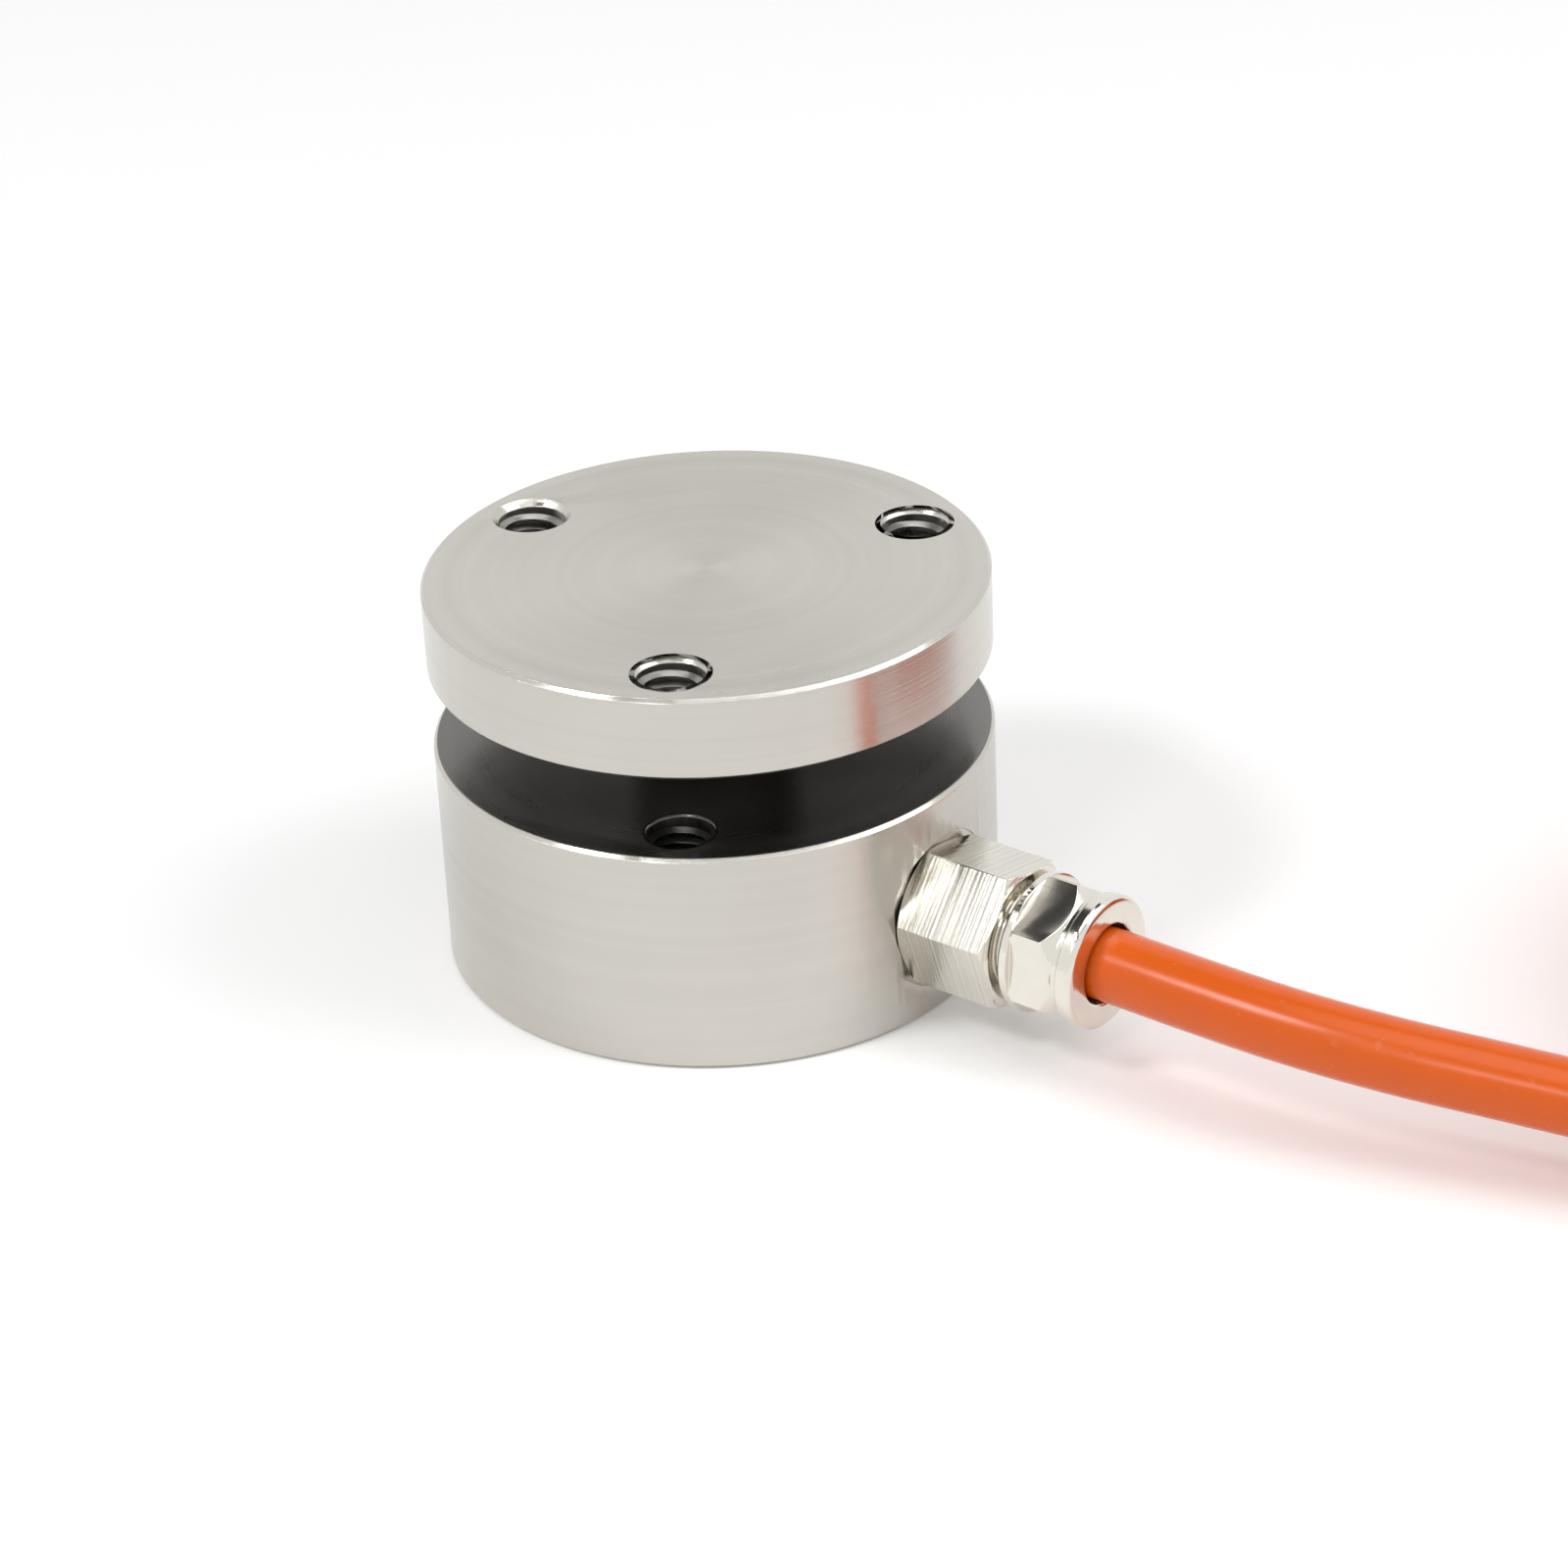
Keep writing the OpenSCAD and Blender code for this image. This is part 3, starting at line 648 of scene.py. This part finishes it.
def dress_nodes():
    """Gives each CAD node the finish of its slot in the record."""
    for part in frame["record"]["subparts"]:
        node = frame["nodes"][part["node"]]
        for slot in node.material_slots:
            slot.link = "OBJECT"
            slot.material = FINISHES[part["material_slot"]]


def pick(*pieces):
    """Selects these pieces alone, with the first active, so that operators act on nothing else."""
    bpy.ops.object.select_all(action="DESELECT")
    for piece in pieces:
        piece.select_set(True)
    bpy.context.view_layer.objects.active = pieces[0]


def add_modifier(piece, kind, **settings):
    """Applies a modifier to a piece at once."""
    pick(piece)
    modifier = piece.modifiers.new(kind.lower(), kind)
    for name, value in settings.items():
        setattr(modifier, name, value)
    bpy.ops.object.modifier_apply(modifier=modifier.name)


def machined_copy(name, node, slot, edge):
    """A copy of a turned or milled node with its sharp edges broken, so that they catch the light."""
    piece = add_object(name, frame["nodes"][node].data.copy())
    pick(piece)
    bpy.ops.object.mode_set(mode="EDIT")
    bpy.ops.mesh.select_all(action="SELECT")
    bpy.ops.mesh.remove_doubles(threshold=WELD_DISTANCE * MM)
    bpy.ops.mesh.dissolve_limited(angle_limit=math.radians(FLAT_ANGLE))
    bpy.ops.object.mode_set(mode="OBJECT")
    bpy.ops.object.shade_smooth_by_angle(angle=math.radians(SHADE_ANGLE))
    add_modifier(piece, "BEVEL", limit_method="ANGLE", angle_limit=math.radians(BEVEL_ANGLE),
                 width=edge * MM, segments=2, use_clamp_overlap=False, harden_normals=True)
    return dress(piece, slot, node)


def outline_mesh(name, corners, closed=False):
    """Edges along corners given by radius and height, to be turned round the Z axis."""
    points = [(r * MM, 0, z * MM) for r, z in corners]
    edges = [(k, k + 1) for k in range(len(points) - 1)]
    if closed:
        edges.append((len(points) - 1, 0))
    mesh = bpy.data.meshes.new(name)
    mesh.from_pydata(points, edges, [])
    return mesh


def close_ends(piece):
    """Fills the open ends of wound ridges and turns all faces outwards."""
    pick(piece)
    bpy.ops.object.mode_set(mode="EDIT")
    bpy.ops.mesh.select_all(action="DESELECT")
    bpy.ops.mesh.select_non_manifold()
    bpy.ops.mesh.edge_face_add()
    bpy.ops.mesh.select_all(action="SELECT")
    bpy.ops.mesh.normals_make_consistent(inside=False)
    bpy.ops.object.mode_set(mode="OBJECT")


def add_threads(name, bottom, turns):
    """The threads of one row of holes: a ridge wound up the wall of each hole."""
    section = [(r, bottom + z) for r, z in THREAD_SECTION]
    ridges = []
    for angle in HOLE_ANGLES:
        ridge = add_object(name, outline_mesh(name, section, closed=True))
        add_modifier(ridge, "SCREW", screw_offset=THREAD_PITCH * MM, iterations=turns,
                     steps=THREAD_STEPS, render_steps=THREAD_STEPS)
        ridge.data.transform(Matrix.Translation(polar(HOLE_CIRCLE * MM, angle)))
        ridges.append(ridge)
    pick(*ridges)
    bpy.ops.object.join()
    close_ends(ridges[0])
    bpy.ops.object.shade_smooth_by_angle(angle=math.radians(30))
    return dress(ridges[0], "turned_steel")


def add_sleeve():
    """The shrink sleeve over the jacket's end: a revolved skin that draws in around the leads."""
    outline = [
        (CABLE_RADIUS - 0.1, 0),
        (SLEEVE_RADIUS - 0.1, 0),
        (SLEEVE_RADIUS, 0.12),
        (SLEEVE_RADIUS, SLEEVE_LENGTH - 0.8),
        (SLEEVE_RADIUS - 0.12, SLEEVE_LENGTH + 0.2),
        (SLEEVE_RADIUS - 0.5, SLEEVE_LENGTH + 1.1),
        (SLEEVE_END_RADIUS + 0.25, SLEEVE_LENGTH + 2.2),
        (SLEEVE_END_RADIUS + 0.02, SLEEVE_LENGTH + 3.2),
        (SLEEVE_END_RADIUS, SLEEVE_LENGTH + SLEEVE_CLOSE - 0.1),
        (SLEEVE_END_RADIUS - 0.15, SLEEVE_LENGTH + SLEEVE_CLOSE),
        (0, SLEEVE_LENGTH + SLEEVE_CLOSE - 0.25),
    ]
    sleeve = add_object("shrink_sleeve", outline_mesh("shrink_sleeve", outline))
    add_modifier(sleeve, "SCREW", steps=48, render_steps=48, use_merge_vertices=True,
                 merge_threshold=0.001 * MM)
    lay = Matrix.Rotation(math.radians(END_HEADING), 4, "Z") @ Matrix.Rotation(math.radians(90), 4, "Y")
    sleeve.data.transform(Matrix.Translation(end_point(SLEEVE_START) * MM) @ lay)
    pick(sleeve)
    bpy.ops.object.shade_smooth_by_angle(angle=math.radians(40))
    return dress(sleeve, "shrink_sleeve", "end_sleeve")


def along_line(line, share):
    """Place and heading at a share of a line's points, on a smooth curve through them."""
    position = share * (len(line) - 1)
    index = min(int(position), len(line) - 2)
    step = line[index + 1] - line[index]
    before = line[index] - line[index - 1] if index > 0 else step
    after = line[index + 2] - line[index + 1] if index < len(line) - 2 else step
    part = position - index
    heading = (before + step).lerp(step + after, part).normalized()
    start_pull = (before + step) / 2
    end_pull = (step + after) / 2
    square = part * part
    cube = square * part
    place = (
        (2 * cube - 3 * square + 1) * line[index]
        + (cube - 2 * square + part) * start_pull
        + (3 * square - 2 * cube) * line[index + 1]
        + (cube - square) * end_pull
    )
    return place, heading


def strand_points(line, index, strand, lay):
    """One strand of a bundle along a line: the last lies in the middle, and the others wind round it."""
    around = STRANDS - 1
    length = sum((b - a).length for a, b in zip(line, line[1:]))
    steps = max(6, round(length / lay * 10))
    reach = 0 if index == around else 2 * strand
    points = []
    for k in range(steps + 1):
        share = k / steps
        place, ahead = along_line(line, share)
        side = ahead.cross(Vector((0, 0, 1))).normalized()
        turn = 2 * math.pi * (index / around + share * length / lay)
        offset = reach * (math.cos(turn) * side + math.sin(turn) * side.cross(ahead))
        points.append((place + offset) * MM)
    return points


def add_bare_wires(name, lines, radius, lay, slot, node):
    """Bundles of twisted strands along the lines, as one piece."""
    strand = radius / 3
    strands = [strand_points(line, index, strand, lay) for line in lines for index in range(STRANDS)]
    return dress(add_wires(name, strands, strand * MM, sides=2, steps=3), slot, node)


def add_leads():
    """The stripped leads with their tinned tips. Returns the names of the pieces."""
    lines = {colour: lead_line(layout) for colour, layout in LEADS.items()}
    cores = [colour for colour in LEADS if colour != "shield"]
    for colour in cores:
        points = millimetres(lines[colour])
        core = add_wires("insulated_" + colour, [points], LEAD_RADIUS * MM, sides=4, steps=4)
        dress(core, colour + "_core", "lead_" + colour)
    add_bare_wires("twisted_shield", [lines["shield"]], LEAD_RADIUS, SHIELD_LAY, "shield_braid",
                   "lead_shield")
    tips = [tip_line(line) for line in lines.values()]
    add_bare_wires("tinned_tips", tips, TIP_RADIUS, TIP_LAY, "solder", "lead_tips")
    return ["insulated_" + colour for colour in cores] + ["twisted_shield", "tinned_tips"]


# Floor, surroundings and light


def seen_share(f):
    """1 for what the camera sees itself, or in a reflection, and 0 for light on matt surfaces."""
    path = f.node("ShaderNodeLightPath")
    camera, glossy, transmission = [
        Number(f, path.outputs[name]) for name in ("Is Camera Ray", "Is Glossy Ray", "Is Transmission Ray")
    ]
    return camera.highest(glossy).highest(transmission)


def add_floor():
    bpy.ops.object.select_all(action="DESELECT")
    bpy.ops.mesh.primitive_plane_add(size=FLOOR_SIZE * MM, location=(0, 0, 0))
    floor = bpy.context.object
    floor.name = "paper_floor"
    f = Finish("paper")
    far = ((f.x * f.x + f.y * f.y) ** 0.5).over(*GLOW_FADE)
    f.bump(f.grain(3, 3), 0.02)
    material = f.finished(base_color=PAPER, roughness=0.9, emission_color=LIGHT,
                          emission_strength=(FLOOR_GLOW + FAR_GLOW * far) * seen_share(f),
                          specular_ior_level=0.2)
    floor.data.materials.append(material)


def add_surroundings():
    world = bpy.data.worlds.new("white_room")
    world.use_nodes = True
    bpy.context.scene.world = world
    f = Finish("room", world.node_tree)
    background = world.node_tree.nodes["Background"]
    seen = seen_share(f)
    upward = f.parts(f.node("ShaderNodeTexCoord").outputs["Generated"])[2]
    room = f.mix(upward.between(*DARK_BAND, DARK_BAND_EDGE), LIGHT, SHADE)
    f.feed(background.inputs["Color"], f.mix(seen, LIGHT, room))
    f.feed(background.inputs["Strength"], ROOM_LIGHT + (1 - ROOM_LIGHT) * seen)


def add_lamp(name, azimuth, elevation, distance, size, power):
    """A soft square lamp aimed at the middle of the part. Azimuth 0 is at the camera, 90 to its right."""
    data = bpy.data.lights.new(name, "AREA")
    data.shape = "SQUARE"
    data.size = size
    data.energy = power
    lamp = add_object(name, data)
    heading = math.degrees(VIEW_TURN) - 90 + azimuth
    flat = polar(distance * math.cos(math.radians(elevation)), heading)
    place = flat + Vector((0, 0, distance * math.sin(math.radians(elevation))))
    lamp.location = place
    lamp.rotation_mode = "QUATERNION"
    lamp.rotation_quaternion = (-place).to_track_quat("-Z", "Y")


add_camera()
cable = add_cable()
dress_nodes()
machined_copy("turned_body", "spring_element", "turned_steel", BODY_BEVEL)
machined_copy("machined_gland", "gland_body", "plated_gland", GLAND_BEVEL)
machined_copy("machined_nut", "gland_nut", "plated_gland", GLAND_BEVEL)
for name, (bottom, turns) in THREAD_ROWS.items():
    add_threads(name, bottom, turns)
add_sleeve()
ends = add_leads()
["coil_ties"] + ends + ["shrink_sleeve"]
add_floor()
add_surroundings()
for name, settings in LAMPS.items():
    add_lamp(name, *settings)
bpy.context.scene.view_settings.view_transform = "Standard"
